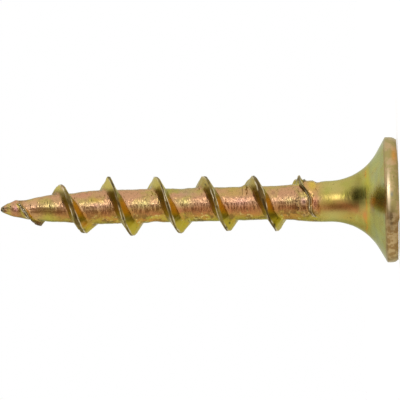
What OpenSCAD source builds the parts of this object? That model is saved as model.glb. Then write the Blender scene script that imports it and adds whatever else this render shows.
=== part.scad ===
// Drywall screw: bugle head with a cross recess, short smooth shank, coarse single-start thread, sharp point.
// It stands on its head. The origin is the centre of the head's flat face, and +Z runs along the axis to the point.
// All sizes are in millimetres, and all angles in degrees.

/* [Screw] */
// Length over all, from the head's face to the point
screw_length = 25; // [20:0.5:32]
// Diameter of the smooth shank
shank_d = 2.57; // [2.4:0.01:2.8]
// Length of the smooth shank, between the bugle and the thread
shank_length = 0.5; // [0.4:0.05:2]

/* [Head] */
// Diameter of the head at its widest
head_d = 7.9; // [7:0.02:9]
// Height of the rim's bulge above the face
rim_h = 0.52; // [0.4:0.02:0.8]
// Height of the straight band round the rim, above the bulge
rim_band_h = 0.2; // [0.05:0.01:0.3]
// Radius of the rim's bulge, from the straight band down to the face
rim_bulge_r = 0.85; // [0.82:0.01:1.5]
// Radius of the edge between the rim and the bugle
rim_edge_r = 0.1; // [0.05:0.01:0.3]
// Radius of the bugle's hollow flare
flare_r = 3.5; // [2.8:0.1:4]
// Angle between the axis and the flare's straight part below the rim
flare_angle = 60; // [50:1:65]

/* [Thread] */
// Diameter over the thread's crest next to the shank
thread_d = 3.48; // [3.3:0.02:4]
// Diameter over the thread's crest where it starts to come down to the point
thread_point_d = 3.76; // [3.3:0.02:4]
// Diameter of the core between the turns
core_d = 2.12; // [1.9:0.02:2.2]
// Distance from one turn to the next
pitch = 3.02; // [2.6:0.02:3.4]
// Angle between the two flanks of the thread
thread_angle = 56; // [50:1:62]
// Width of the thread's crest, from lip to lip
crest_w = 0.22; // [0.1:0.01:0.26]
// Depth of the rolled seam between the crest's two lips
seam_depth = 0.06; // [0.02:0.01:0.1]
// Width of the fillet at the foot of each flank
root_fillet = 0.12; // [0.08:0.01:0.2]
// Length over which the shank tapers down to the core
neck_length = 2.8; // [1:0.1:4]
// Height above the shank's end at which the crest starts to rise
run_out_start = 0.1; // [0.05:0.01:0.3]
// Axial length over which the crest rises to its full height
run_out_length = 1.65; // [0.6:0.05:2]
// How far the crest bends towards the point where it runs out
run_out_bend = 0.32; // [0:0.02:0.4]
// Height above the shank's end at which the crest first faces +X
crest_on_x_rise = 1.33; // [1:0.01:2]

/* [Point] */
// Length over which the core narrows to the point
point_length = 6; // [4:0.1:8]
// Exponent of the core's curve to the point, where a smaller one gives a fuller, blunter point
point_power = 0.4; // [0.3:0.01:0.6]
// Length over which the thread's crest comes down to the point
crest_fall_length = 8; // [5:0.1:9]
// Exponent of the crest's curve to the point, where a larger one keeps the thread high for longer
crest_fall_power = 2.5; // [1.8:0.1:3]

/* [Cross recess] */
// Distance across the wings at the face
wings_across = 4.5; // [4.2:0.1:4.8]
// Distance across the wings where they meet the bottom cone
wings_bottom_across = 2.29; // [2:0.01:2.5]
// Width of a wing at the apex of the bottom cone
wing_w = 0.7; // [0.6:0.01:0.8]
// Slope of a wing's outer end from the axis
wing_end_angle = 26.5; // [24:0.5:30]
// Slope of a wing's side from the axis
wing_side_angle = 5.75; // [3:0.25:8]
// Diameter of the recess's round middle at the face
middle_d = 2.5; // [2:0.05:2.8]
// Diameter of the recess's round middle at the apex of the bottom cone
middle_bottom_d = 1.4; // [1.2:0.05:1.6]
// Angle of the bottom cone
bottom_angle = 140; // [120:1:150]

/* [Hidden] */
$fn = 96;

head_r = head_d / 2;
shank_r = shank_d / 2;
core_r = core_d / 2;
thread_r = thread_d / 2;
thread_point_r = thread_point_d / 2;

// The bugle in section: the rim's upper edge ends at edge_end, and a straight cone joins it to the arc at arc_end.
edge_centre = [head_r - rim_edge_r, rim_h + rim_band_h];
edge_end = edge_centre + rim_edge_r * [cos(flare_angle), sin(flare_angle)];
arc_end_r = shank_r + flare_r * (1 - cos(flare_angle));
arc_end = [arc_end_r, edge_end[1] + (edge_end[0] - arc_end_r) / tan(flare_angle)];
flare_top = arc_end[1] + flare_r * sin(flare_angle);
flare_centre = [shank_r + flare_r, flare_top];
// The shank is rooted this deep in the head.
shank_root = 0.2;

// The rim's bulge in section: an arc from the straight band down to the face.
bulge_centre = [head_r - rim_bulge_r, rim_h];
bulge_angle = asin(rim_h / rim_bulge_r);
face_r = bulge_centre[0] + rim_bulge_r * cos(bulge_angle);

// The recess: its wings' outer ends reach the bottom cone at wing_end_depth.
cut_over = 0.2;
wing_end_depth = (wings_across - wings_bottom_across) / 2 / tan(wing_end_angle);
recess_depth = wing_end_depth + wings_bottom_across / 2 / tan(bottom_angle / 2);

// The threaded body is one skin, wound as a strip one pitch wide. Each row of the strip crosses the thread once,
// and the next row stands one step further round the helix.
thread_start = flare_top + shank_length;
crest_on_x = thread_start + crest_on_x_rise;
steps_per_turn = 60;
flank_slope = tan(thread_angle / 2);
crest_round = 0.02;
crest_fall_start = screw_length - crest_fall_length;
// Where the thread is low, its seam is no deeper than this share of its height.
seam_share = 0.3;
// The strip begins inside the shank, pressed together there, and its skin lies this far under the shank's.
buried_turns = 1.1;
buried_length = 0.65 * shank_length;
skin_lap = 0.015;
// Past this distance from the point, the strip's last turn is pressed together towards the point.
nose_length = 0.25;
first_row_z = thread_start + (0.5 - buried_turns) * pitch;
last_row = ceil((screw_length - nose_length + pitch / 2 - first_row_z) / pitch * steps_per_turn);

function mix(a, b, share) = a + (b - a) * share;
function clamp01(x) = min(1, max(0, x));
function smooth(x) = x * x * (3 - 2 * x);

// Distance from the point: the unrolled distance u, or past nose_length a distance that only nears zero.
function point_distance(u) = u > nose_length ? u : nose_length * nose_length / (2 * nose_length - u);

// Height above the face of a place s along the unrolled strip.
function skin_z(s) =
    s < thread_start
        ? thread_start - (thread_start - s) * buried_length / (buried_turns * pitch)
        : screw_length - point_distance(screw_length - s);

// Radius of the body between the turns, at height z: shank, neck, core and point.
function body_radius(z) =
    let (neck_share = smooth(clamp01((z - thread_start) / neck_length)))
    let (point_share = clamp01((screw_length - z) / point_length))
    mix(shank_r - skin_lap, core_r, neck_share) * pow(point_share, point_power);

// Radius of the crest at height z, without its run-out.
function crest_radius(z) =
    let (along_share = clamp01((z - thread_start) / (crest_fall_start - thread_start)))
    let (point_share = clamp01((screw_length - z) / crest_fall_length))
    mix(thread_r, thread_point_r, along_share) * (1 - pow(1 - point_share, crest_fall_power));

// How far the thread has risen where its crest is at height z, from 0 to 1.
function risen_share(z) = smooth(clamp01((z - thread_start - run_out_start) / run_out_length));

// Height of the thread above the body where its crest is at height z.
function thread_height(z) = risen_share(z) * max(0, crest_radius(z) - body_radius(z));

// Half the thread's section for a height h, from the crest outwards: [distance along the axis, height].
function half_section(h) =
    let (fillet_h = 0.1 * h)
    let (flank_end = crest_w / 2 + crest_round + (h - fillet_h) * flank_slope)
    let (foot = flank_end + root_fillet)
    [
        [crest_w / 2, h],
        [flank_end, fillet_h],
        [foot, 0],
        [(foot + pitch / 2) / 2, 0]
    ];

// One row across the strip, from the middle of the root below the crest to just short of the next turn's start.
// The seam runs along the middle. All but the row's first place is moved along the axis by bend.
function section(h, bend) =
    let (half = half_section(h))
    let (last = len(half) - 1)
    concat(
        [[-pitch / 2, 0]],
        [for (k = [last:-1:0]) [bend - half[k][0], half[k][1]]],
        [[bend, h - min(seam_depth, seam_share * h)]],
        [for (place = half) [bend + place[0], place[1]]]
    );

columns = len(section(1, 0));

function row_z(row) = first_row_z + pitch * row / steps_per_turn;
function row_angle(row) = 360 * (row_z(row) - crest_on_x) / pitch;

// A point of the skin, on a row, at [distance along the axis, height above the body].
function skin_point(row, place) =
    let (z = skin_z(row_z(row) + place[0]))
    let (r = body_radius(z) + place[1])
    [r * cos(row_angle(row)), r * sin(row_angle(row)), z];

// The number of the skin's point in a row and column. Column number "columns" is the first one a turn further on.
function skin_index(row, column) =
    column == columns ? skin_index(row + steps_per_turn, 0)
    : row <= last_row ? row * columns + column
    : (last_row + 1) * columns + row - last_row - 1;

module sector(centre, r, from, to) {
    reach = 2 * r;
    intersection() {
        translate(centre) circle(r);
        polygon([
            centre,
            centre + reach * [cos(from), sin(from)],
            centre + reach * [cos(to), sin(to)]
        ]);
    }
}

module head_section() {
    sector(bulge_centre, rim_bulge_r, -bulge_angle, 0);
    sector(edge_centre, rim_edge_r, 0, flare_angle);
    difference() {
        polygon([
            [0, 0],
            [face_r, 0],
            bulge_centre,
            [head_r, rim_h],
            [head_r, edge_centre[1]],
            edge_centre,
            edge_end,
            arc_end,
            [arc_end_r, flare_top],
            [0, flare_top]
        ]);
        sector(flare_centre, flare_r, 180, 180 + flare_angle);
    }
}

module wing_pair() {
    // Long way: the outer ends slope in. Short way: the sides slope in.
    end_in = recess_depth * tan(wing_end_angle);
    side_in = recess_depth * tan(wing_side_angle);
    over_end = cut_over * tan(wing_end_angle);
    over_side = cut_over * tan(wing_side_angle);
    intersection() {
        rotate([90, 0, 0]) linear_extrude(wings_across, center = true) polygon([
            [-wings_across / 2 - over_end, -cut_over],
            [wings_across / 2 + over_end, -cut_over],
            [wings_across / 2 - end_in, recess_depth],
            [end_in - wings_across / 2, recess_depth]
        ]);
        rotate([90, 0, 90]) linear_extrude(2 * wings_across, center = true) polygon([
            [-wing_w / 2 - side_in - over_side, -cut_over],
            [wing_w / 2 + side_in + over_side, -cut_over],
            [wing_w / 2, recess_depth],
            [-wing_w / 2, recess_depth]
        ]);
    }
}

module cross_recess() {
    bottom_r = wings_across;
    bottom_rise = bottom_r / tan(bottom_angle / 2);
    middle_spread = (middle_d - middle_bottom_d) / 2 * cut_over / recess_depth;
    intersection() {
        union() {
            wing_pair();
            rotate([0, 0, 90]) wing_pair();
            translate([0, 0, -cut_over])
                cylinder(recess_depth + cut_over, middle_d / 2 + middle_spread, middle_bottom_d / 2);
        }
        rotate_extrude() polygon([
            [0, -cut_over],
            [bottom_r, -cut_over],
            [bottom_r, recess_depth - bottom_rise],
            [0, recess_depth]
        ]);
    }
}

module head() {
    difference() {
        rotate_extrude() head_section();
        cross_recess();
    }
}

module shank() {
    translate([0, 0, flare_top - shank_root]) cylinder(shank_root + shank_length, shank_r, shank_r);
}

module threaded_body() {
    rows = [for (row = [0:last_row])
        let (crest_z = skin_z(row_z(row)))
        let (bend = run_out_bend * (1 - risen_share(crest_z)))
        for (place = section(thread_height(crest_z), bend)) skin_point(row, place)];
    last_turn = [for (row = [last_row + 1:last_row + steps_per_turn]) skin_point(row, [-pitch / 2, 0])];
    buried_end = [0, 0, thread_start - buried_length];
    point = [0, 0, screw_length];
    points = concat(rows, last_turn, [buried_end, point]);
    buried_index = len(points) - 2;
    point_index = len(points) - 1;
    skin = [for (row = [0:last_row - 1]) for (column = [0:columns - 1])
        let (a = skin_index(row, column), b = skin_index(row + 1, column))
        let (c = skin_index(row + 1, column + 1), d = skin_index(row, column + 1))
        each [[a, d, c], [a, c, b]]];
    buried_cap = concat(
        [for (row = [0:steps_per_turn - 1]) [skin_index(row, 0), skin_index(row + 1, 0), buried_index]],
        [for (column = [0:columns - 1]) [skin_index(0, column + 1), skin_index(0, column), buried_index]]
    );
    point_cap = concat(
        [for (row = [last_row:last_row + steps_per_turn - 1])
            [skin_index(row + 1, 0), skin_index(row, 0), point_index]],
        [for (column = [0:columns - 1])
            [skin_index(last_row, column), skin_index(last_row, column + 1), point_index]]
    );
    polyhedron(points, concat(skin, buried_cap, point_cap));
}

module screw() {
    color("#b9a04e") {
        head();
        shank();
        threaded_body();
    }
}

screw();
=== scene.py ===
"""Drywall screw, standing on its head.

The skin is one closed mesh in the model's own frame, worked out in millimetres and written in metres: a grid
of rings for the recess, the face, the rim and the bugle, and a strip wound along the thread for everything
above them. The camera looks level at the screw's side and is turned, so that the point is at the left."""

import math

import bpy
import numpy as np
from mathutils import Matrix, Vector


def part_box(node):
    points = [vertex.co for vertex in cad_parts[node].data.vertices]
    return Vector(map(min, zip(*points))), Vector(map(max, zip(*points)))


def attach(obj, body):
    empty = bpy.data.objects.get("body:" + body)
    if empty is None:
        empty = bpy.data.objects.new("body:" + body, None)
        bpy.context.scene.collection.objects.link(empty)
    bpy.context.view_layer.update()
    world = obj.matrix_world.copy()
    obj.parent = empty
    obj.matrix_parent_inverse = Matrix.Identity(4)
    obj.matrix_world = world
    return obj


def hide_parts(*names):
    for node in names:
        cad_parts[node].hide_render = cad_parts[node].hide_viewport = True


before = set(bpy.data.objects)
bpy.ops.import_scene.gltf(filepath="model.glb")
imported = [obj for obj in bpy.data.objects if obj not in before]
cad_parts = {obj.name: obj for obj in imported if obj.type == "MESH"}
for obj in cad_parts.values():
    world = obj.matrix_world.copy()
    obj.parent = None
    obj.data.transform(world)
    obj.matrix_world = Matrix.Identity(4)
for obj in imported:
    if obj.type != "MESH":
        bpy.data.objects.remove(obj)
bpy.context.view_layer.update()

MM = 0.001
screw_low, screw_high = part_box("screw")

# Sizes of the screw in millimetres. The skin keeps a hair inside the construction's box.
SKIN_INSIDE = 0.003
LENGTH = screw_high.z / MM - SKIN_INSIDE
HEAD_R = min(screw_high.x, screw_high.y, -screw_low.x, -screw_low.y) / MM - SKIN_INSIDE
RIM_H = 0.52
RIM_BAND_H = 0.2
RIM_BULGE_R = 0.85
RIM_EDGE_R = 0.1
FLARE_R = 3.5
FLARE_ANGLE = math.radians(60)
SHANK_R = 1.285
CORE_R = 1.06
THREAD_R = 1.74
THREAD_POINT_R = 1.88
PITCH = 3.02
HALF_THREAD_ANGLE = math.radians(28)
NECK_LENGTH = 2.8
POINT_LENGTH = 6.0
POINT_POWER = 0.4
CREST_FALL_LENGTH = 8.0
CREST_FALL_POWER = 2.5

# The bugle in section, as [radius, height].
EDGE_CENTRE = np.array([HEAD_R - RIM_EDGE_R, RIM_H + RIM_BAND_H])
EDGE_END = EDGE_CENTRE + RIM_EDGE_R * np.array([math.cos(FLARE_ANGLE), math.sin(FLARE_ANGLE)])
ARC_END_R = SHANK_R + FLARE_R * (1 - math.cos(FLARE_ANGLE))
ARC_END = np.array([ARC_END_R, EDGE_END[1] + (EDGE_END[0] - ARC_END_R) / math.tan(FLARE_ANGLE)])
FLARE_TOP = ARC_END[1] + FLARE_R * math.sin(FLARE_ANGLE)
BULGE_CENTRE = np.array([HEAD_R - RIM_BULGE_R, RIM_H])
BULGE_ANGLE = math.asin(RIM_H / RIM_BULGE_R)
FACE_R = BULGE_CENTRE[0] + RIM_BULGE_R * math.cos(BULGE_ANGLE)

THREAD_START = FLARE_TOP + 0.5
RUN_OUT_START = 0.1
RUN_OUT_LENGTH = 1.65
CREST_ON_X = THREAD_START + 1.33

# The cross recess.
WINGS_ACROSS = 4.5
WINGS_BOTTOM_ACROSS = 2.29
WING_W = 0.7
WING_END_SLOPE = math.tan(math.radians(26.5))
WING_SIDE_SLOPE = math.tan(math.radians(5.75))
MIDDLE_R = 1.25
MIDDLE_BOTTOM_R = 0.7
BOTTOM_SLOPE = math.tan(math.radians(70))
WALL_DEPTH = (WINGS_ACROSS - WINGS_BOTTOM_ACROSS) / 2 / WING_END_SLOPE
RECESS_DEPTH = WALL_DEPTH + WINGS_BOTTOM_ACROSS / 2 / BOTTOM_SLOPE

# Wear and the marks of upsetting and rolling. The crest has a dome, two lips and a seam between them.
RIM_WAVE = 0.007
FACE_BACK_ABOVE = 0.05
FACE_BACK_BELOW = 0.09
FACE_EDGE_BACK = 0.04
CREST_DOME_H = 0.06
LIP_AT = 0.075
LIP_H = 0.028
SEAM_DEPTH = 0.06
FILLET = 0.06
LUMP_H = 0.1
FLAP_H = 0.145
CURL_H = 0.15

# The mesh: steps round one turn, the height near which the strip takes over from the rings, the length at
# the point over which the strip is pressed together, and the share of the wall and the face that eases the
# recess's edge. The strip's columns go from the crest's middle past its lip, down the flank, round its foot
# and on to half way to the next turn.
STEPS = 216
EIGHTH = STEPS // 8
STRIP_FOOT = 3.05
NOSE_LENGTH = 0.25
EASED_EDGE = 0.012
LIP_ROOM = 0.04
FOOT_ROOM = 0.14
COLUMNS_BETWEEN = (8, 5, 4, 6)


def smooth(x):
    """3x^2 - 2x^3, with x held between 0 and 1."""
    x = np.clip(x, 0, 1)
    return x * x * (3 - 2 * x)


def bell(x, centre, width):
    """exp(-((x - centre) / width)^2)"""
    return np.exp(-(((x - centre) / width) ** 2))


def swells(x, *places):
    """Sum of bells, each given as its size, its centre and its width."""
    return sum(size * bell(x, centre, width) for size, centre, width in places)


def angle_to(angle, degrees):
    """Degrees from a place on the round, between -180 and 180."""
    return (np.degrees(angle) - degrees + 180) % 360 - 180


def patch(z, angle, height, width, degrees, spread):
    """A soft patch on the round: a bell along the axis times a bell round it."""
    return bell(z, height, width) * bell(angle_to(angle, degrees), 0, spread)


def lattice_noise(around, up, cell_around, cell_up, seed):
    """Smooth noise from -1 to 1 in two directions: random values at whole cells, blended by 3x^2 - 2x^3."""
    values = np.random.default_rng(seed).uniform(-1, 1, (257, 257))
    a, u = np.asarray(around) / cell_around, np.asarray(up) / cell_up
    i, j = np.floor(a).astype(int), np.floor(u).astype(int)
    fa, fu = smooth(a - i), smooth(u - j)
    i0, j0, i1, j1 = i % 257, j % 257, (i + 1) % 257, (j + 1) % 257
    low = values[i0, j0] * (1 - fa) + values[i1, j0] * fa
    high = values[i0, j1] * (1 - fa) + values[i1, j1] * fa
    return low * (1 - fu) + high * fu


def ring_noise(angle, z, radius, cell_around, cell_up, seed):
    """Noise on a round body, which closes on itself: noise at (r cos t, z) plus noise at (r sin t, z)."""
    x, y = radius * np.cos(angle), radius * np.sin(angle)
    first = lattice_noise(x + 40, z + 40, cell_around, cell_up, seed)
    second = lattice_noise(y + 40, z + 90, cell_around, cell_up, seed + 1)
    return (first + second) / 1.4


def body_radius(z):
    """Radius of the body between the turns at height z.

    The flare is shank + R - sqrt(R^2 - (top - z)^2), the neck goes from shank to core by 3x^2 - 2x^3, and the
    point is core (t / T)^power."""
    below = np.clip(FLARE_TOP - z, 0, 0.99 * FLARE_R)
    flare = FLARE_R - np.sqrt(FLARE_R**2 - below**2)
    neck = smooth((z - THREAD_START) / NECK_LENGTH)
    point = np.clip((LENGTH - z) / POINT_LENGTH, 0, 1) ** POINT_POWER
    return (SHANK_R + flare + (CORE_R - SHANK_R) * neck) * point


def crest_radius(z):
    """Radius of the crest at height z, without its run-out: (R rising evenly) (1 - (1 - t/T)^power)."""
    along = np.clip((z - THREAD_START) / (LENGTH - CREST_FALL_LENGTH - THREAD_START), 0, 1)
    fall = np.clip((LENGTH - z) / CREST_FALL_LENGTH, 0, 1)
    return (THREAD_R + (THREAD_POINT_R - THREAD_R) * along) * (1 - (1 - fall) ** CREST_FALL_POWER)


def thread_height(z):
    """Height of the thread above the body where its crest is at height z."""
    risen = smooth((z - THREAD_START - RUN_OUT_START) / RUN_OUT_LENGTH)
    return risen * np.maximum(0, crest_radius(z) - body_radius(z))


def recess_outline(columns, depth):
    """The recess's outline at a depth, as x and y for each column.

    Each eighth of the round runs along half a wing's end, then its side, then the round middle."""
    step = columns % STEPS
    wing = np.round(step / (2 * EIGHTH))
    local = step - wing * 2 * EIGHTH
    side, share = np.sign(local), np.abs(local) / EIGHTH
    half_length = WINGS_ACROSS / 2 - depth * WING_END_SLOPE
    half_width = WING_W / 2 + (RECESS_DEPTH - depth) * WING_SIDE_SLOPE
    middle = MIDDLE_R + (MIDDLE_BOTTOM_R - MIDDLE_R) * depth / RECESS_DEPTH
    corner = np.sqrt(np.maximum(middle**2 - half_width**2, 0.01))
    on_end, on_side = np.clip(share * 3, 0, 1), np.clip(share * 3 - 1, 0, 1)
    start = np.arctan2(half_width, corner)
    turn = start + (math.pi / 4 - start) * np.clip(share * 3 - 2, 0, 1)
    straight = share < 2 / 3
    round_r = np.hypot(corner, half_width)
    u = np.where(straight, half_length + (corner - half_length) * on_side, round_r * np.cos(turn))
    v = np.where(straight, half_width * on_end, round_r * np.sin(turn)) * side
    angle = wing * math.pi / 2
    return u * np.cos(angle) - v * np.sin(angle), u * np.sin(angle) + v * np.cos(angle)


def recess_rings(columns):
    """Rings over the recess's bottom cone, z = depth - r / slope, and up its walls to near the face."""
    # the walls end where they are as deep as the cone
    depth = np.full(len(columns), RECESS_DEPTH / 2)
    for _ in range(30):
        depth = RECESS_DEPTH - np.hypot(*recess_outline(columns, depth)) / BOTTOM_SLOPE
    foot_x, foot_y = recess_outline(columns, depth)
    rings = []
    for share in np.linspace(0.15, 0.9, 4):
        x, y = foot_x * share, foot_y * share
        rings.append((x, y, RECESS_DEPTH - np.hypot(x, y) / BOTTOM_SLOPE))
    for share in np.linspace(1, EASED_EDGE, 8):
        rings.append((*recess_outline(columns, depth * share), depth * share))
    return rings


def face_rings(columns):
    """Rings over the flat face, on straight lines from the recess's edge to the rim."""
    angle = 2 * np.pi * columns / STEPS
    mouth = np.stack(recess_outline(columns, 0 * angle))
    edge = FACE_R * np.stack([np.cos(angle), np.sin(angle)])
    return [(*(mouth + (edge - mouth) * share), 0 * angle) for share in np.linspace(EASED_EDGE, 1, 6)[:-1]]


def bugle_section(strip_foot):
    """Radii and heights from the face's edge to just below strip_foot.

    They follow the rim's bulge, its upright band, its rounded edge, the cone and the flare's arc."""
    bulge = np.linspace(-BULGE_ANGLE, 0, 9)[:-1]
    band = np.linspace(0, RIM_BAND_H, 5)[:-1]
    edge = np.linspace(0, FLARE_ANGLE, 6)
    cone = np.linspace(0, 1, 7)[1:-1]
    arc = np.linspace(FLARE_ANGLE, math.asin((FLARE_TOP - strip_foot) / FLARE_R), 26)[:-1]
    radius = np.concatenate([
        BULGE_CENTRE[0] + RIM_BULGE_R * np.cos(bulge),
        HEAD_R + 0 * band,
        EDGE_CENTRE[0] + RIM_EDGE_R * np.cos(edge),
        EDGE_END[0] + (ARC_END[0] - EDGE_END[0]) * cone,
        SHANK_R + FLARE_R * (1 - np.cos(arc)),
    ])
    height = np.concatenate([
        BULGE_CENTRE[1] + RIM_BULGE_R * np.sin(bulge),
        RIM_H + band,
        EDGE_CENTRE[1] + RIM_EDGE_R * np.sin(edge),
        EDGE_END[1] + (ARC_END[1] - EDGE_END[1]) * cone,
        FLARE_TOP - FLARE_R * np.sin(arc),
    ])
    return radius, height


def head_rings(columns, strip_foot):
    """Rings from the recess's bottom out over the face and the rim and up the bugle, to near strip_foot.

    The rim was upset unevenly: its side waves by noise, and the face stands back here and there."""
    angle = 2 * np.pi * columns / STEPS
    rings = recess_rings(columns) + face_rings(columns)
    for radius, height in zip(*bugle_section(strip_foot)):
        z = height + 0 * angle
        wave = RIM_WAVE * (ring_noise(angle, z, 3.0, 0.9, 0.7, 53) - 1)
        worn = radius + wave * smooth(height / 0.3)
        rings.append((worn * np.cos(angle), worn * np.sin(angle), z))
    rings = np.array(rings)
    x, y, z = rings[:, 0], rings[:, 1], rings[:, 2]
    back = FACE_BACK_ABOVE * smooth((x - 2.35) / 0.25) + FACE_BACK_BELOW * smooth((-1.15 - x) / 0.25)
    at_edge = smooth((np.hypot(x, y) - FACE_R + 0.1) / 0.1)
    back = back + FACE_EDGE_BACK * smooth(0.5 + lattice_noise(x + 9, y + 9, 1.3, 1.3, 51)) * at_edge
    z += back * smooth(1 - z / 0.35)
    return rings.transpose(0, 2, 1)


def strip_columns(height, shift, lip_at, slopes):
    """Distances along the axis from the row's middle: closest at the crest and at the feet of the thread."""
    crest = lip_at + LIP_ROOM
    sides = []
    for sign, slope in zip((-1, 1), slopes):
        flank = crest + height * slope
        keys = [
            shift, shift + sign * crest, shift + sign * (flank + 0.01), shift + sign * (flank + FOOT_ROOM),
            0 * height + sign * PITCH / 2,
        ]
        half = []
        for low, high, count in zip(keys[:-1], keys[1:], COLUMNS_BETWEEN):
            half += [low + (high - low) * k / count for k in range(count)]
        half.append(keys[-1])
        sides.append(np.stack(half, -1))
    return np.concatenate([sides[0][:, :0:-1], sides[1][:, :-1]], 1)


class Strip:
    """The strip: rows across the thread, one step apart round the helix.

    The first turn opens as a wedge from the level ring at the strip's foot. Past the nose the strip is
    pressed together towards the point: t becomes n^2 / (2n - t)."""

    def __init__(self):
        whole = CREST_ON_X + PITCH / 2
        self.back_steps = round((whole - STRIP_FOOT) / PITCH * STEPS)
        self.foot = whole - PITCH * self.back_steps / STEPS
        last = math.ceil((LENGTH - NOSE_LENGTH + PITCH - self.foot) / PITCH * STEPS)
        self.row = np.arange(last + 1)
        self.crest_z = self.foot + PITCH * self.row / STEPS - PITCH / 2
        self.angle = 2 * np.pi * (self.row - self.back_steps) / STEPS
        # length along the helix, kept positive
        self.along = self.angle * THREAD_R + 500

        self.shift = self.crest_shift()
        self.lip_at = self.crest_half_width()
        self.height = self.crest_height()
        self.slopes = self.flank_slopes()
        self.offset = strip_columns(self.height, self.shift, self.lip_at, self.slopes)
        low = np.maximum(self.crest_z - PITCH / 2, self.foot)[:, None]
        high = (self.crest_z + PITCH / 2)[:, None]
        place = (self.offset + PITCH / 2) / PITCH
        self.z = LENGTH - press(LENGTH - (low + (high - low) * place))

    def wander(self, cell, seed):
        """Noise along the helix."""
        return lattice_noise(self.along, 0 * self.along, cell, 1, seed)

    def crest_shift(self):
        """How far the crest lies from its even place: it bends to the point at the run-out, and wanders."""
        run_out = swells(np.degrees(self.angle), (0.25, -40, 24), (0.36, -120, 28))
        kinks = swells(
            self.crest_z, (-0.07, 7.9, 0.12), (-0.1, 9.25, 0.16), (-0.04, 12.4, 0.15), (-0.08, 15.44, 0.16),
            (-0.09, 18.42, 0.24), (-0.08, 21.25, 0.3), (-0.05, 22.75, 0.2),
        )
        return run_out + kinks + 0.02 * self.wander(1.9, 41)

    def crest_half_width(self):
        """Distance from the crest's middle to each of its lips."""
        wider = swells(
            self.crest_z, (-0.045, 6.1, 0.45), (-0.03, 7.7, 0.2), (0.085, 8.62, 0.28), (0.035, 11.5, 0.5),
            (0.08, 20.4, 0.6),
        )
        return LIP_AT + wider + 0.02 * self.wander(0.9, 43) + 0.014 * self.wander(0.3, 44)

    def crest_height(self):
        """Height of the thread over the body, with the dents and the ragged edge that this screw has."""
        z = self.crest_z
        height = np.where(self.row > STEPS, thread_height(np.minimum(z, LENGTH)), 0)
        height = height + 0.08 * smooth((z - 4.9) / 0.15) * smooth((5.9 - z) / 0.6)
        uneven = swells(
            z, (-0.2, 6.35, 0.07), (0.04, 6.53, 0.08), (-0.05, 7.5, 0.1), (0.05, 7.7, 0.5),
            (-0.09, 9.4, 0.12), (-0.06, 10.7, 2.2), (-0.07, 13.8, 0.3), (-0.06, 15.5, 0.1),
            (0.07, 18.22, 0.07), (-0.04, 18.47, 0.16), (-0.12, 19.7, 0.5), (-0.16, 22.15, 0.2),
            (0.09, 22.55, 0.14), (-0.14, 22.95, 0.2), (0.05, 23.1, 0.08),
        )
        uneven = uneven + 0.02 * self.wander(1.3, 45)
        ragged = 0.025 + 0.07 * smooth((z - 21.9) / 1.2) + 0.06 * smooth((6.5 - z) / 0.6)
        height = height + (uneven + ragged * self.wander(0.25, 47)) * smooth(height / 0.15)
        return np.maximum(height, 0)

    def flank_slopes(self):
        """Run for rise of the head's flank and of the point's: wider below, and narrower above."""
        straight = math.tan(HALF_THREAD_ANGLE)
        below = -np.cos(self.angle)
        head_lean = 1.07 + 0.15 * below + swells(
            self.crest_z, (-0.3, 7.52, 0.16), (0.4, 13.5, 0.3), (-0.4, 18.05, 0.22), (0.9, 19.55, 0.35),
            (-0.25, 20.95, 0.3),
        )
        point_lean = 0.95 + 0.05 * below + swells(
            self.crest_z, (-0.35, 5.65, 0.35), (-0.3, 6.2, 0.5), (-0.15, 12.45, 0.3), (-0.25, 15.4, 0.4),
            (-0.2, 18.45, 0.3),
        )
        head_lean = head_lean + 0.06 * self.wander(1.5, 49)
        point_lean = point_lean + 0.06 * self.wander(1.5, 50)
        return straight * head_lean, straight * point_lean

    def raised(self):
        """Height of the skin above the body, and how far each point is on the thread, crest, lips and seam.

        The crest is domed by k (d / lip)^2. The flank's line L is blended into the body by
        (L + sqrt(L^2 + f^2)) / 2. The lips and the seam are bells."""
        h, lip_at = self.height[:, None], self.lip_at[:, None]
        offset = self.offset - self.shift[:, None]
        distance = np.abs(offset)
        slope = np.where(offset < 0, self.slopes[0][:, None], self.slopes[1][:, None])
        dome = CREST_DOME_H * np.minimum(distance / lip_at, 1) ** 2 * smooth(h / 0.3)
        line = h - dome - np.maximum(distance - lip_at, 0) / slope
        raised = (line + np.sqrt(line**2 + FILLET**2)) / 2 * smooth(h / 0.12)
        on_thread = smooth(raised / (0.3 * h + 0.05)) * smooth(h / 0.1)

        along = self.along[:, None] + 0 * offset
        lip_size = np.clip(0.5 + 0.85 * lattice_noise(along, np.sign(offset) + 2, 0.4, 1, 33), 0.05, 1.1)
        seam_at = 0.25 * lip_at * self.wander(0.6, 31)[:, None]
        seam_size = np.clip(0.62 + 0.75 * self.wander(0.7, 35)[:, None], 0.1, 1)
        lip = bell(distance, lip_at - 0.005, 0.02) * lip_size * smooth(h / 0.12)
        seam = bell(offset, seam_at, 0.5 * lip_at) * seam_size * smooth(h / 0.12)
        side = np.sign(offset) * on_thread
        crest = smooth((lip_at + 0.02 - distance) / 0.04) * smooth(h / 0.2)
        raised = raised + LIP_H * lip - SEAM_DEPTH * seam * smooth(h / 0.3)
        return raised, {"thread_share": on_thread, "side": side, "crest": crest, "lip": lip, "seam": seam}


def press(left):
    """Distance from the point of a place on the strip: past the nose n^2 / (2n - t), which only nears 0."""
    pressed = NOSE_LENGTH**2 / (2 * NOSE_LENGTH - np.minimum(left, NOSE_LENGTH))
    return np.where(left > NOSE_LENGTH, left, pressed)


def rolled_share(z):
    """How far the rolled metal has begun at height z: 0 on the shank and 1 on the threaded part."""
    return smooth((z - THREAD_START + 0.2) / 0.6)


def torn_share(angle, z):
    """How torn the root is: two patches beside the thread's run-out, in front."""
    return patch(z, angle, 6.33, 0.18, -92, 20) + 0.65 * patch(z, angle, 5.85, 0.5, -126, 22)


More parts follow.
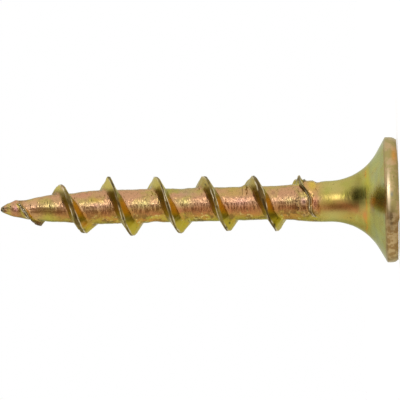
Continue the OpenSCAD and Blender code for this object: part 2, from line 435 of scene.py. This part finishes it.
def worn_body(angle, z, thread_share):
    """Radius of the body, with the marks of rolling and pinching that this screw has."""
    above = np.cos(angle)

    # the root is hammered and drawn round the screw, more so where it is torn
    body = body_radius(z)
    rough = 0.014 * ring_noise(angle, z, body, 0.35, 0.15, 11)
    rough = rough + 0.012 * ring_noise(angle, z, body, 0.7, 0.5, 21)
    rough = rough * (1 + 1.5 * torn_share(angle, z)) * (1 - 0.85 * thread_share)
    body = body + rough * rolled_share(z) * np.clip(body / CORE_R, 0.15, 1)

    # the lump on the head's side of the run-out, with a step down to the shank
    lump = smooth((z - 5.12) / 0.22) * smooth((6.2 - z) / 0.45) * smooth((above - 0.35) / 0.5)
    step = swells(z, (0.1, 5.12, 0.14), (0.03, 4.85, 0.2)) * smooth((above - 0.2) / 0.5)
    body = body + LUMP_H * lump - step

    # the flap rolled over at the sixth turn from the point, and the curl at the run-out
    body = body + FLAP_H * patch(z, angle, 9.63, 0.135, -20, 34) + CURL_H * patch(z, angle, 5.89, 0.08, 2, 24)

    # dents of the core, above at 0 degrees and below at 180: depth, height, width, direction and spread
    for depth, height, width, degrees, spread in (
        (0.06, 20.4, 0.35, 0, 60), (0.05, 13.6, 0.4, 0, 60), (0.07, 15.3, 0.35, 180, 60),
        (0.06, 23.75, 0.3, 180, 70), (0.05, 24.6, 0.2, 180, 70),
    ):
        body = body - depth * patch(z, angle, height, width, degrees, spread)

    # the point was pinched off: a narrow end, a burr above it and a waist behind them, all of it rough
    burr = 0.07 * bell(z, 24.05, 0.2) * smooth(above)
    waist = 0.05 * bell(z, 23.35, 0.55) * smooth(above + 0.5)
    shoulder = 0.03 * smooth((22.6 - z) / 0.8) * bell(z, 22.0, 0.5)
    pinch = -0.05 * bell(z, 24.85, 0.25) + burr - waist + shoulder
    rough_end = 0.035 * smooth((z - 22.3) / 1.0) * ring_noise(angle, z, body, 0.28, 0.22, 61)
    return body + pinch + rough_end * np.clip(body / 0.4, 0, 1)


def on_round(radius, angle, z):
    """Points (r cos t, r sin t, z), one below another."""
    return np.stack([radius * np.cos(angle), radius * np.sin(angle), z], -1).reshape(-1, 3)


def far_side(strip):
    """The last turn's far side: the strip's first column carried on for one more turn, on the bare body."""
    step = np.arange(STEPS)
    z = LENGTH - press(LENGTH - (strip.crest_z[-1] - PITCH / 2 + PITCH * (step + 1) / STEPS))
    return on_round(body_radius(z), 2 * np.pi * (len(strip.row) + step - strip.back_steps) / STEPS, z)


def grid_quads(index, first, second):
    """A quad between each place of a grid and the next both ways, where index(a, b) numbers the points."""
    a, b = np.meshgrid(first, second, indexing="ij")
    return np.stack([index(a, b), index(a + 1, b), index(a + 1, b + 1), index(a, b + 1)], -1).reshape(-1, 4)


def skin_faces(ring_count, row_count, column_count):
    """The skin's quads and triangles, as numbers of points.

    The points are the recess's bottom, the rings, the strip by rows, the last turn's far side and the tip."""
    strip_base = 1 + ring_count * STEPS
    far_base = strip_base + row_count * column_count
    tip = far_base + STEPS

    def strip_index(row, column):
        """Number of a point of the strip. One column past the last is the first one a turn further on."""
        row, column = np.broadcast_arrays(row, column)
        row = np.where(column == column_count, row + STEPS, row)
        column = np.where(column == column_count, 0, column)
        on_strip, on_far_side = strip_base + row * column_count + column, far_base + row - row_count
        found = np.where(row < row_count, on_strip, on_far_side)
        # the first row is one point, and so is the place where it meets the second turn
        return np.where((row == 0) | ((row == STEPS) & (column == 0)), strip_base, found)

    def ring_index(step, ring):
        """Number of a point of a ring. One ring past the last is the strip's foot."""
        step = step % STEPS
        return np.where(ring < ring_count, 1 + ring * STEPS + step, strip_index(step, 0))

    quads = np.concatenate([
        grid_quads(ring_index, np.arange(STEPS), np.arange(ring_count)),
        grid_quads(strip_index, np.arange(row_count - 1), np.arange(column_count)),
    ])
    step, column = np.arange(STEPS), np.arange(column_count)
    last = row_count - 1
    tris = np.concatenate([
        np.stack([ring_index(step + 1, 0), ring_index(step, 0), 0 * step], -1),
        np.stack([strip_index(last, column + 1), strip_index(last, column), 0 * column + tip], -1),
        np.stack([strip_index(last + step, 0), strip_index(last + step + 1, 0), 0 * step + tip], -1),
    ])
    return tidy_faces(quads, tris)


def skin():
    """The whole skin: its points, its faces, and what each point is on."""
    strip = Strip()
    rings = head_rings(np.arange(STEPS) - strip.back_steps, strip.foot)
    raised, marks = strip.raised()
    angle, z = strip.angle[:, None] + 0 * strip.z, strip.z
    radius = worn_body(angle, z, marks["thread_share"]) + raised
    points = np.concatenate([
        [[0, 0, RECESS_DEPTH]],
        rings.reshape(-1, 3),
        on_round(radius, angle, z),
        far_side(strip),
        [[0, 0, LENGTH]],
    ])
    marks |= {"torn": torn_share(angle, z), "rolled": rolled_share(z)}
    before = np.zeros(1 + len(rings) * STEPS)
    for name, values in marks.items():
        marks[name] = np.concatenate([before, values.reshape(-1), np.full(STEPS + 1, values[-1, 0])])
    return points, *skin_faces(len(rings), *z.shape), marks


def tidy_faces(quads, tris):
    """Quads with two corners at one point become triangles, and those with fewer than three corners go."""
    same = quads == np.roll(quads, -1, 1)
    whole = quads[same.sum(1) == 0]
    folded, folds = quads[same.sum(1) == 1], same[same.sum(1) == 1]
    return whole, np.concatenate([tris, folded[~folds].reshape(-1, 3)])


def make_mesh(name, points, quads, tris):
    """A mesh object at the origin from points in millimetres and arrays of faces."""
    mesh = bpy.data.meshes.new(name)
    used = np.zeros(len(points), bool)
    used[quads.ravel()] = True
    used[tris.ravel()] = True
    number = np.cumsum(used) - 1
    kept = points[used] * MM
    corners = number[np.concatenate([quads.ravel(), tris.ravel()])]
    starts = np.concatenate([4 * np.arange(len(quads)), 4 * len(quads) + 3 * np.arange(len(tris))])
    mesh.vertices.add(len(kept))
    mesh.vertices.foreach_set("co", kept.ravel())
    mesh.loops.add(len(corners))
    mesh.loops.foreach_set("vertex_index", corners.astype(np.int32))
    mesh.polygons.add(len(starts))
    mesh.polygons.foreach_set("loop_start", starts.astype(np.int32))
    mesh.update(calc_edges=True)
    mesh.validate()
    mesh.polygons.foreach_set("use_smooth", np.ones(len(mesh.polygons), bool))
    mesh.set_sharp_from_angle(angle=math.radians(40))
    piece = bpy.data.objects.new(name, mesh)
    bpy.context.scene.collection.objects.link(piece)
    return piece, used


def point_attribute(piece, name, values):
    """Stores one number for each point of the piece, for its material to read."""
    layer = piece.data.attributes.new(name, "FLOAT", "POINT")
    layer.data.foreach_set("value", np.asarray(values, np.float32))


class Nodes:
    """Short calls for building a node tree."""

    def __init__(self, tree):
        self.tree = tree
        tree.nodes.clear()

    def add(self, kind, inputs=None, **settings):
        node = self.tree.nodes.new(kind)
        for key, value in settings.items():
            setattr(node, key, value)
        for key, value in (inputs or {}).items():
            self.give(node.inputs[key], value)
        return node

    def give(self, socket, value):
        if isinstance(value, bpy.types.NodeSocket):
            self.tree.links.new(value, socket)
        else:
            socket.default_value = value

    def math(self, operation, *values):
        return self.add("ShaderNodeMath", dict(enumerate(values)), operation=operation).outputs[0]

    def product(self, first, *others):
        for other in others:
            first = self.math("MULTIPLY", first, other)
        return first

    def sum(self, first, *others):
        for other in others:
            first = self.math("ADD", first, other)
        return first

    def bell(self, value, centre, width):
        """exp(-((value - centre) / width)^2)"""
        away = self.math("DIVIDE", self.math("SUBTRACT", value, centre), width)
        return self.math("EXPONENT", self.product(away, away, -1.0))

    def mix(self, share, low, high):
        node = self.add("ShaderNodeMix", data_type="RGBA")
        for socket, value in ((node.inputs[0], share), (node.inputs[6], low), (node.inputs[7], high)):
            self.give(socket, value)
        return node.outputs[2]

    def ramp(self, value, low, high, to_low=0.0, to_high=1.0):
        return self.add(
            "ShaderNodeMapRange",
            {"Value": value, "From Min": low, "From Max": high, "To Min": to_low, "To Max": to_high},
            interpolation_type="SMOOTHSTEP",
        ).outputs[0]


def linear(red, green, blue):
    """A colour given as it shows on a screen, 0 to 255, in the linear values that nodes take."""
    channels = np.array([red, green, blue]) / 255
    values = np.where(channels <= 0.04045, channels / 12.92, ((channels + 0.055) / 1.055) ** 2.4)
    return (*map(float, values), 1.0)


class Plating(Nodes):
    """The yellow zinc's node tree. Its colour is built up in coats, and each call of lay() is one more.

    Places and widths are millimetres on the screw's own axes: X is up in the photo, and Z to the left."""

    def __init__(self, tree):
        super().__init__(tree)
        self.place = self.add("ShaderNodeTexCoord").outputs["Object"]
        self.axes = self.add("ShaderNodeSeparateXYZ", {"Vector": self.place}).outputs
        self.thread = self.mark("thread_share")
        self.side = self.mark("side")
        self.crest = self.mark("crest")
        self.lip = self.mark("lip")
        self.seam = self.mark("seam")
        self.torn = self.mark("torn")
        self.rolled = self.mark("rolled")
        self.front = self.past("Y", 0.0, -0.3)
        self.on_rim = self.past("Z", 0.95, 0.8)
        self.first_turn = self.product(self.past("X", -0.66, -0.8), self.near("Z", 22.62, 0.42))
        self.gold_peak = self.product(self.past("X", 0.95, 1.15), self.near("Z", 6.35, 0.28))
        self.colour = None

    def mark(self, name):
        """One of the numbers that are stored on the screw's points."""
        return self.add("ShaderNodeAttribute", attribute_name=name).outputs["Fac"]

    def noise(self, scale, detail=3.0, rough=0.6, shift=0.0, squeeze=1.0):
        """Noise with `scale` cells to the millimetre, squeezed along the screw's axis."""
        vector = self.add("ShaderNodeMapping", {
            "Vector": self.place,
            "Location": (shift, 2 * shift, -shift),
            "Scale": (1 / MM, 1 / MM, squeeze / MM),
        }).outputs[0]
        settings = {"Vector": vector, "Scale": scale, "Detail": detail, "Roughness": rough}
        return self.add("ShaderNodeTexNoise", settings).outputs["Fac"]

    def mottle(self, scale, shift, low, high, to_low=0.0, to_high=1.0, detail=3.0, rough=0.6):
        """Blotches: noise that counts as to_low up to its value `low`, and as to_high from `high` on."""
        return self.ramp(self.noise(scale, detail, rough, shift), low, high, to_low, to_high)

    def near(self, axis, centre, width):
        """exp(-((place - centre) / width)^2) along an axis."""
        return self.bell(self.axes[axis], centre * MM, width * MM)

    def past(self, axis, start, end, to_start=0.0, to_end=1.0):
        """Goes smoothly from to_start at `start` to to_end at `end`, along an axis."""
        return self.ramp(self.axes[axis], start * MM, end * MM, to_start, to_end)

    def spot(self, x, z, width, height):
        """A soft oval spot on the side towards -Y."""
        return self.product(self.past("Y", 0.0, -0.5), self.near("X", x, width), self.near("Z", z, height))

    def beside(self, share):
        """1 - share: everywhere but there."""
        return self.sum(1.0, self.product(share, -1.0))

    def lay(self, tone, *shares):
        """Lays a tone over the colour, as much as the product of the shares."""
        self.colour = self.mix(self.product(*shares), self.colour, tone)

    def dab(self, x, z, width, height, share, tone):
        """Lays a tone, as it shows on a screen, in a soft oval spot."""
        self.lay(linear(*tone), self.spot(x, z, width, height), share)

    def body(self):
        """Pink, gold and olive above the screw's middle, amber and olive below, and a copper band between
        that is partly painted shade.
        """
        gold = linear(182, 160, 84)
        pink = linear(196, 146, 106)
        olive = linear(166, 156, 66)
        bright_olive = linear(164, 150, 26)
        amber = linear(188, 130, 32)
        copper = linear(166, 88, 56)

        pink_share = self.product(self.mottle(0.5, 0.0, 0.36, 0.54), self.rolled)
        plain = self.mix(self.mottle(0.7, 5.0, 0.4, 0.6, detail=2.0, rough=0.5), gold, olive)
        upper = self.mix(pink_share, plain, pink)
        amber_share = self.product(
            self.mottle(0.8, 3.1, 0.42, 0.66, rough=0.5),
            self.ramp(self.rolled, 0.0, 1.0, 0.35, 0.9),
            self.past("Z", 21.6, 21.0, 0.15, 1.0),
        )
        lower = self.mix(amber_share, self.mix(self.rolled, olive, bright_olive), amber)
        self.colour = self.mix(self.past("X", -1.1, 0.5), lower, upper)
        # painted shade: a darker copper band along the front just below the middle, where the metal mirrors
        # the dark side of the tent; partly the plating's own copper tone
        self.lay(copper, self.near("X", -0.42, 0.4), self.front, 0.6)

    def underside(self):
        """Brown and olive mottles and pale specks under the copper band, redder and greener in two places."""
        below = self.product(self.past("X", -0.3, -0.75), self.past("Y", 0.6, 0.0, 0.4, 1.0), self.rolled)
        self.lay(linear(118, 88, 30), below, self.mottle(1.9, 14.0, 0.5, 0.6), 0.8)
        self.lay(linear(190, 178, 60), below, self.mottle(1.3, 15.5, 0.52, 0.62), 0.5)
        self.lay(linear(220, 206, 120), below, self.mottle(4.6, 18.5, 0.6, 0.68, detail=2.0, rough=0.5), 0.6)
        self.lay(linear(166, 96, 44), below, self.near("Z", 19.9, 0.8), 0.65)
        self.lay(linear(172, 166, 58), below, self.near("Z", 22.0, 0.75), 0.7)

    def middle(self):
        """Painted highlight along the middle of the front: paler, and greenish or rosy from place to place.
        """
        painted_highlight = self.product(self.near("X", 0.1, 0.24), self.rolled, self.front)
        greenish = self.sum(
            self.near("Z", 13.5, 0.5), self.near("Z", 21.8, 0.35), self.near("Z", 6.85, 0.35),
            self.near("Z", 16.0, 0.4),
        )
        rosy = self.sum(self.near("Z", 19.0, 0.45), self.near("Z", 9.9, 0.4), self.near("Z", 22.9, 0.25))
        # painted highlight: the pale lit streak along the front, tinted green or rose in places
        self.lay(linear(222, 176, 146), painted_highlight, 0.34)
        self.lay(linear(204, 194, 118), painted_highlight, greenish, 0.5)
        self.lay(linear(230, 170, 154), painted_highlight, rosy, 0.4)

    def patches(self):
        """Patches near the point, a gold and a pink one above, a pale painted highlight below the middle, and
        brown specks all over.
        """
        self.dab(-0.45, 22.0, 0.35, 0.4, 0.65, (176, 166, 56))
        self.dab(0.0, 21.83, 0.5, 0.03, 0.55, (96, 84, 36))
        self.dab(0.85, 19.7, 0.25, 0.5, 0.5, (204, 134, 104))
        self.dab(0.45, 19.0, 0.16, 0.35, 0.5, (210, 166, 60))
        # painted highlight: the lit streak reaching further down near the second turn
        self.lay(linear(220, 180, 134), self.spot(-0.1, 19.7, 0.16, 0.7), self.rolled, 0.5)
        self.lay(linear(216, 172, 118), self.near("Z", 23.0, 0.7), 0.35)
        self.lay(linear(192, 160, 78), self.past("X", 0.3, 0.6), self.near("Z", 10.3, 0.8), self.front, 0.6)
        self.lay(linear(190, 150, 122), self.past("X", 0.4, 0.7), self.near("Z", 13.3, 0.5), self.front, 0.6)
        specks = self.product(self.mottle(5.5, 16.2, 0.54, 0.64), self.ramp(self.rolled, 0.0, 1.0, 0.25, 1.0))
        self.lay(linear(104, 78, 44), specks, 0.3)

    def bugle(self):
        """The bugle and the shank: greyer past a thin orange ring near the rim, with streaks and patches; two
        dark patches are painted reflections.
        """
        blotches = self.mottle(1.1, 8.2, 0.35, 0.6, 0.4, 0.9, rough=0.5)
        self.lay(linear(164, 166, 114), self.past("Z", 2.0, 1.6), blotches)
        upright = self.ramp(self.noise(0.55, shift=30.0, squeeze=4.0), 0.42, 0.62)
        self.lay(linear(186, 186, 96), upright, self.past("Z", 3.6, 2.6), 0.45)

        waver = self.product(self.sum(self.noise(0.9, shift=6.4), -0.5), 0.35 * MM)
        ring_at = self.sum(self.axes["Z"], waver)
        broken = self.mottle(1.6, 2.9, 0.38, 0.52, detail=2.0, rough=0.5)
        self.lay(linear(208, 146, 48), self.bell(ring_at, 2.05 * MM, 0.05 * MM), broken, 0.8)
        self.lay(linear(200, 186, 62), self.bell(ring_at, 1.92 * MM, 0.12 * MM), 0.4)

        shank_sides = self.ramp(self.math("ABSOLUTE", self.axes["X"]), 0.4 * MM, 0.75 * MM)
        self.lay(linear(192, 186, 108), self.near("Z", 4.1, 0.8), shank_sides, 0.4)
        self.dab(0.85, 1.85, 0.5, 0.3, 0.6, (186, 180, 60))
        self.dab(-0.95, 2.15, 0.3, 0.14, 0.85, (206, 134, 58))
        self.dab(1.35, 2.45, 0.4, 0.25, 0.5, (140, 122, 38))

        slope = self.product(self.sum(self.axes["Z"], -2.9 * MM), -0.42)
        smear = self.bell(self.sum(self.axes["X"], slope), -0.5 * MM, 0.2 * MM)
        smear = self.product(smear, self.mottle(2.4, 10.4, 0.3, 0.6, 0.4, 1.0), self.near("Z", 2.95, 0.85))
        self.lay(linear(196, 134, 74), smear, self.front, 0.8)
        # painted reflections: two dark olive patches on the bugle's front, where it mirrors the dark opening
        # and the screw's own body
        self.dab(0.5, 2.65, 0.75, 0.34, 0.6, (104, 92, 28))
        self.dab(0.1, 1.15, 0.8, 0.3, 0.55, (88, 78, 30))
        self.dab(-0.1, 1.65, 0.35, 0.16, 0.5, (200, 130, 40))

    def rim(self):
        """The rim: tan, darker and blotchy below as painted shade, with a copper edge line that is partly
        painted shade, a painted highlight line and two patches.
        """
        blotches = self.mottle(1.6, 9.3, 0.42, 0.58, detail=4.0, rough=0.65)
        tan = self.mix(blotches, linear(192, 160, 118), linear(164, 146, 88))
        # painted shade: the rim darker and blotchy towards its lower side
        shaded_mottle = self.mix(self.mottle(2.2, 33.0, 0.44, 0.56), linear(146, 108, 60), linear(184, 154, 106))
        tan = self.mix(self.past("X", -0.4, -1.5), tan, shaded_mottle)
        self.lay(tan, self.on_rim, 0.9)
        # partly painted shade: a darker copper line round the rim's edge, where the edge mirrors the dark
        # opening
        self.lay(linear(146, 100, 62), self.near("Z", 0.87, 0.03), 0.6)
        self.dab(2.8, 0.25, 0.4, 0.16, 0.75, (214, 148, 58))
        # painted highlight: a bright cream line along the rim's upright band
        self.dab(0.5, 0.64, 1.15, 0.09, 0.85, (255, 234, 196))
        blotches = self.mottle(2.5, 7.7, 0.36, 0.56, 0.3, 1.0)
        self.lay(linear(84, 62, 26), self.spot(-1.2, 0.5, 0.7, 0.2), blotches)
        self.dab(0.35, 0.46, 0.16, 0.08, 0.7, (116, 122, 122))

    def flanks(self):
        """Flanks as lit and shaded copies: the head's lit orange to olive, the point's shaded brown, both
        darker higher up; pale gold above.
        """
        # painted light: the head's flank is the lit copy and the point's flank the shaded one, both painted
        # darker towards the top
        lit_head_flank = self.mix(self.past("X", -0.9, -0.2), linear(188, 168, 30), linear(212, 146, 10))
        lit_head_flank = self.mix(self.product(self.near("X", -0.78, 0.2), 0.75), lit_head_flank, linear(104, 94, 20))
        lit_head_flank = self.mix(self.past("X", 0.1, 0.7), lit_head_flank, linear(146, 130, 30))
        shaded_point_flank = self.mix(self.past("X", -0.6, 0.5), linear(158, 132, 16), linear(106, 82, 0))
        shaded_point_flank = self.mix(self.product(self.near("X", -0.05, 0.3), 0.6), shaded_point_flank, linear(138, 86, 0))
        self.lay(self.mix(self.ramp(self.side, -0.2, 0.2), lit_head_flank, shaded_point_flank), self.thread, 0.96)
        above = self.mix(self.past("Z", 13.6, 12.6), linear(220, 202, 102), linear(194, 172, 92))
        self.lay(above, self.thread, self.past("X", 0.85, 1.3), 0.8)

        # below, the first turn is brown and the second orange; the last is gold above, with painted shadow at
        # the root of its point's flank
        self.lay(linear(96, 58, 16), self.first_turn, self.math("MAXIMUM", self.thread, self.crest))
        second = self.product(self.near("X", -1.05, 0.22), self.near("Z", 19.75, 0.3))
        self.lay(linear(190, 112, 30), self.thread, second, 0.7)
        self.dab(-0.83, 22.54, 0.05, 0.07, 0.9, (186, 108, 40))
        self.lay(linear(198, 178, 56), self.gold_peak, 0.9)
        # painted shadow at the root of the point's flank by the run-out
        root = self.product(self.thread, self.ramp(self.side, 0.1, 0.5), self.past("Z", 6.6, 6.3))
        self.lay(linear(84, 52, 16), root, 0.8)

    def crests(self):
        """The crests: worn brown, with pale broken lips on both sides of a seam that is dark in places."""
        worn = self.mix(self.mottle(1.1, 21.0, 0.42, 0.58), linear(78, 60, 24), linear(140, 122, 66))
        worn = self.mix(self.near("Z", 8.7, 0.7), worn, linear(84, 60, 28))
        self.lay(worn, self.crest, self.sum(0.85, self.product(self.gold_peak, -0.75)))
        blotches = self.mottle(2.0, 12.0, 0.4, 0.6, detail=2.0, rough=0.5)
        self.lay(self.mix(blotches, linear(50, 36, 16), linear(112, 90, 50)), self.seam, 0.85)
        self.lay(linear(88, 60, 20), self.first_turn, self.crest, 0.9)
        self.dab(-1.42, 19.78, 0.12, 0.13, 0.8, (96, 80, 22))

        # the lips are brighter at the run-out, and missing where the first turn is lowest
        first_low = self.product(self.near("Z", 22.7, 0.5), self.past("X", -0.55, -0.65))
        kept = self.product(self.past("Z", 6.3, 6.0, 1.0, 2.0), self.beside(first_low))
        broken = self.mottle(2.6, 23.0, 0.36, 0.5, 0.25, 1.2, detail=2.0, rough=0.5)
        self.lay(linear(244, 228, 190), self.lip, broken, kept)

    def pinched_point(self):
        """The point: amber, pink painted highlight with a whiter spot, a slanting line of silver and black,
        then olive, grey and a dark tip.
        """
        self.lay(linear(150, 116, 40), self.near("Z", 23.72, 0.16), 0.6)
        blotches = self.mottle(3.0, 17.0, 0.4, 0.55, detail=2.0, rough=0.5)
        # painted highlight: pink patches where the light catches the point, with a whiter spot in their
        # middle
        self.lay(linear(214, 140, 116), self.near("Z", 24.08, 0.16), blotches, 0.2)
        self.dab(0.02, 24.03, 0.13, 0.1, 0.8, (236, 172, 168))
        line_at = self.sum(self.axes["Z"], -23.62 * MM, self.product(self.axes["X"], -0.54))
        reach = self.product(self.past("X", 0.42, 0.28), self.past("X", -0.72, -0.6), self.front)
        flecks = self.mottle(4.2, 27.0, 0.49, 0.57, detail=2.0)
        silver = self.mix(flecks, linear(60, 56, 38), linear(246, 238, 214))
        self.lay(linear(172, 162, 58), self.bell(line_at, 0.15 * MM, 0.08 * MM), reach, 0.75)
        self.lay(silver, self.bell(line_at, 0.0, 0.07 * MM), reach, 0.9)
        self.lay(linear(190, 178, 76), self.near("Z", 24.48, 0.14), 0.6)
        self.lay(linear(112, 112, 82), self.past("Z", 24.68, 24.84), 0.7)
        self.dab(0.0, 24.8, 0.1, 0.06, 0.9, (44, 44, 30))

    def run_out(self):
        """The thread's run-out: a gold lump, pink patches, a dark curl, and crumbs where the root is torn."""
        off_thread = self.beside(self.thread)
        self.lay(linear(210, 178, 66), self.spot(1.08, 5.4, 0.42, 0.36), off_thread, 0.95)
        self.dab(-0.05, 5.25, 0.45, 0.2, 0.75, (208, 132, 104))
        self.dab(-0.5, 5.03, 0.3, 0.12, 0.6, (170, 104, 40))
        self.lay(linear(66, 60, 36), self.near("Z", 5.9, 0.13), self.past("X", 1.2, 1.32), 0.8)
        self.lay(linear(232, 180, 168), self.spot(0.05, 5.98, 0.22, 0.16), off_thread, 0.7)
        crumbs = self.mix(self.mottle(5.0, 13.0, 0.44, 0.56), linear(92, 62, 26), linear(190, 158, 100))
        self.lay(crumbs, self.torn, 0.8)

    def pits(self):
        """Fine pits, a thin scratch beside the flap, pink on the second crest, and four dark pits."""
        fine = self.sum(self.noise(7.0, 4.0, shift=11.0), self.product(self.torn, 0.12))
        self.lay(linear(50, 38, 22), self.ramp(fine, 0.64, 0.70), 0.7)
        self.dab(0.84, 9.79, 0.2, 0.03, 0.75, (84, 62, 26))
        self.dab(1.3, 21.1, 0.2, 0.12, 0.6, (196, 152, 124))
        dark = (44, 30, 12)
        self.dab(-1.2, 10.64, 0.075, 0.055, 0.95, dark)
        self.dab(-1.5, 10.86, 0.12, 0.08, 0.95, dark)
        self.dab(1.25, 12.1, 0.07, 0.05, 0.85, dark)
        self.dab(-1.42, 7.84, 0.14, 0.08, 0.95, dark)

    def relief(self):
        """Bump of the drawn metal: streaks and a finer grain, strongest where torn and weak on the thread."""
        streaks = self.noise(2.6, 1.5, 0.5, 1.7, squeeze=2.6)
        grain = self.noise(5.2, 2.0, 0.5, 5.9, squeeze=1.6)
        strength = self.sum(0.12, self.product(self.rolled, 0.83), self.product(self.torn, 1.6))
        off_thread = self.ramp(self.thread, 0.0, 0.35, 1.0, 0.12)
        strength = self.product(strength, off_thread, self.past("X", 0.12, -0.1, 1.2, 0.38))
        height = self.product(self.sum(streaks, self.product(grain, 0.5)), strength)
        bump = self.add("ShaderNodeBump", {"Height": height, "Distance": 0.07 * MM, "Strength": 1.0})
        return bump.outputs[0]

    def metal(self):
        """The metal under its colour: clear-coated, and duller and without the coat on the thread."""
        relief = self.relief()
        roughness = self.sum(
            self.mottle(2.2, 4.4, 0.3, 0.7, 0.22, 0.3, rough=0.5), self.product(self.rolled, -0.05),
            self.product(self.thread, 0.16), self.product(self.on_rim, 0.06),
        )
        shader = self.add("ShaderNodeBsdfPrincipled", {
            "Base Color": self.colour,
            "Metallic": self.sum(1.0, self.product(self.thread, -0.4), self.product(self.lip, -0.3)),
            "Roughness": roughness,
            "Specular Tint": (0.62, 0.64, 0.45, 1),
            "Coat Weight": self.product(self.beside(self.thread), 0.25),
            "Coat Roughness": 0.12,
            "Coat IOR": 1.6,
            "Normal": relief,
            "Coat Normal": relief,
        })
        self.add("ShaderNodeOutputMaterial", {"Surface": shader.outputs[0]})


def yellow_zinc():
    """Yellow zinc on rolled steel: gold, copper-pink and olive patches, with fine pits and rolling marks."""
    material = bpy.data.materials.new("yellow_zinc")
    material.use_nodes = True
    zinc = Plating(material.node_tree)
    zinc.body()
    zinc.underside()
    zinc.middle()
    zinc.patches()
    zinc.bugle()
    zinc.rim()
    zinc.flanks()
    zinc.crests()
    zinc.pinched_point()
    zinc.run_out()
    zinc.pits()
    zinc.metal()
    return material


def floor_material():
    """Plain white floor, which keeps the screw's soft shadow."""
    material = bpy.data.materials.new("floor")
    material.use_nodes = True
    n = Nodes(material.node_tree)
    path = n.add("ShaderNodeLightPath").outputs
    seen = n.math("MAXIMUM", path["Is Camera Ray"], path["Is Glossy Ray"])
    matt = n.add("ShaderNodeBsdfDiffuse", {"Color": (0.8, 0.8, 0.8, 1)})
    glow = n.add("ShaderNodeEmission", {"Color": (1, 1, 1, 1), "Strength": n.product(seen, 0.4)})
    both = n.add("ShaderNodeAddShader", {0: matt.outputs[0], 1: glow.outputs[0]})
    n.add("ShaderNodeOutputMaterial", {"Surface": both.outputs[0]})
    return material


def make_world():
    """A light tent: pale all round, with a strong soft strip, a brown stretch and a dark opening.

    Directions are azimuth from -Y towards +X and tilt towards +Z, in degrees. The strip is beside the camera,
    the brown stretch is on its other side, and the opening is in front of the point."""
    world = bpy.data.worlds.new("tent")
    bpy.context.scene.world = world
    world.use_nodes = True
    n = Nodes(world.node_tree)
    way = n.add("ShaderNodeTexCoord").outputs["Generated"]
    split = n.add("ShaderNodeSeparateXYZ", {"Vector": way}).outputs
    azimuth = n.product(n.math("ARCTAN2", split["X"], n.product(split["Y"], -1.0)), 180 / math.pi)
    tilt = n.product(n.math("ARCSINE", split["Z"]), 180 / math.pi)

    opening_azimuth, opening_tilt = math.radians(31), math.radians(59)
    opening = (
        math.sin(opening_azimuth) * math.cos(opening_tilt),
        -math.cos(opening_azimuth) * math.cos(opening_tilt),
        math.sin(opening_tilt),
    )
    dot = n.add("ShaderNodeVectorMath", {0: way, 1: opening}, operation="DOT_PRODUCT").outputs["Value"]
    from_opening = n.product(n.math("ARCCOSINE", dot), 180 / math.pi)

    level = 1.0
    strip = n.product(n.bell(azimuth, 18.0, 18.0), n.ramp(tilt, 36.0, 16.0), 0.95)
    opened = n.product(n.ramp(from_opening, 40.0, 8.0), -0.95)
    total = n.math("MAXIMUM", n.sum(level, strip, opened), 0.05)
    total = n.product(total, n.math("SUBTRACT", 1.0, n.product(n.bell(azimuth, -140.0, 25.0), 0.3)))
    shade = n.product(n.bell(azimuth, -28.0, 25.0), n.ramp(n.math("ABSOLUTE", tilt), 75.0, 45.0))
    colour = n.mix(shade, (1, 1, 1, 1), (0.32, 0.24, 0.19, 1))
    path = n.add("ShaderNodeLightPath").outputs
    through = n.math("MAXIMUM", path["Is Camera Ray"], path["Is Transmission Ray"])
    tent = n.add("ShaderNodeBackground", {"Color": colour, "Strength": total})
    white = n.add("ShaderNodeBackground", {"Color": (1, 1, 1, 1), "Strength": 1.0})
    mixed = n.add("ShaderNodeMixShader", {0: through, 1: tent.outputs[0], 2: white.outputs[0]})
    n.add("ShaderNodeOutputWorld", {"Surface": mixed.outputs[0]})


def make_camera():
    """A long lens, level with the screw's side, turned and framed as in the photo."""
    image_side = 400
    point_pixel, face_pixel = Vector((0.5, 209.72)), Vector((398.5, 199.58))
    distance = 1.1
    across = face_pixel - point_pixel
    pixels_per_metre = across.length / (screw_high.z - screw_low.z)
    tilt = math.atan2(-across.y, across.x)
    right = Vector((-math.sin(tilt), 0, -math.cos(tilt)))
    up = Vector((math.cos(tilt), 0, -math.sin(tilt)))
    back = right.cross(up)
    middle = Vector((image_side / 2, image_side / 2)) - point_pixel
    point = Vector((0, 0, screw_high.z))
    target = point + (right * middle.x - up * middle.y) / pixels_per_metre
    data = bpy.data.cameras.new("camera")
    camera = bpy.data.objects.new("camera", data)
    bpy.context.scene.collection.objects.link(camera)
    data.sensor_width = 36.0
    data.lens = data.sensor_width * distance * pixels_per_metre / image_side
    data.clip_start, data.clip_end = 0.05, 5.0
    turn = Matrix((right, up, back)).transposed().to_4x4()
    turn.translation = target + back * distance
    camera.matrix_world = turn
    bpy.context.scene.camera = camera


def make_floor():
    """A round floor under the head."""
    radius, corners = 0.25, 96
    angle = 2 * np.pi * np.arange(corners) / corners
    mesh = bpy.data.meshes.new("floor")
    rim = [(radius * math.cos(a), radius * math.sin(a), 0.0) for a in angle]
    mesh.from_pydata(rim, [], [tuple(range(corners))])
    floor = bpy.data.objects.new("floor", mesh)
    floor.data.materials.append(floor_material())
    bpy.context.scene.collection.objects.link(floor)


def area_lamp(name, place, target, size, power):
    data = bpy.data.lights.new(name, "AREA")
    data.shape, data.size, data.energy = "DISK", size, power
    lamp = bpy.data.objects.new(name, data)
    lamp.location = place
    lamp.rotation_euler = (Vector(target) - Vector(place)).to_track_quat("-Z", "Y").to_euler()
    bpy.context.scene.collection.objects.link(lamp)


bpy.context.scene.view_settings.view_transform = "Standard"
make_world()
make_camera()
make_floor()
area_lamp("key", (0.21, -0.47, 0.13), (0, 0, 0.012), 0.21, 0.168)

points, quads, tris, marks = skin()
screw, used = make_mesh("screw_skin", points, quads, tris)
for name, values in marks.items():
    point_attribute(screw, name, values[used])
screw.data.materials.append(yellow_zinc())
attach(screw, "root")
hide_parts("screw")
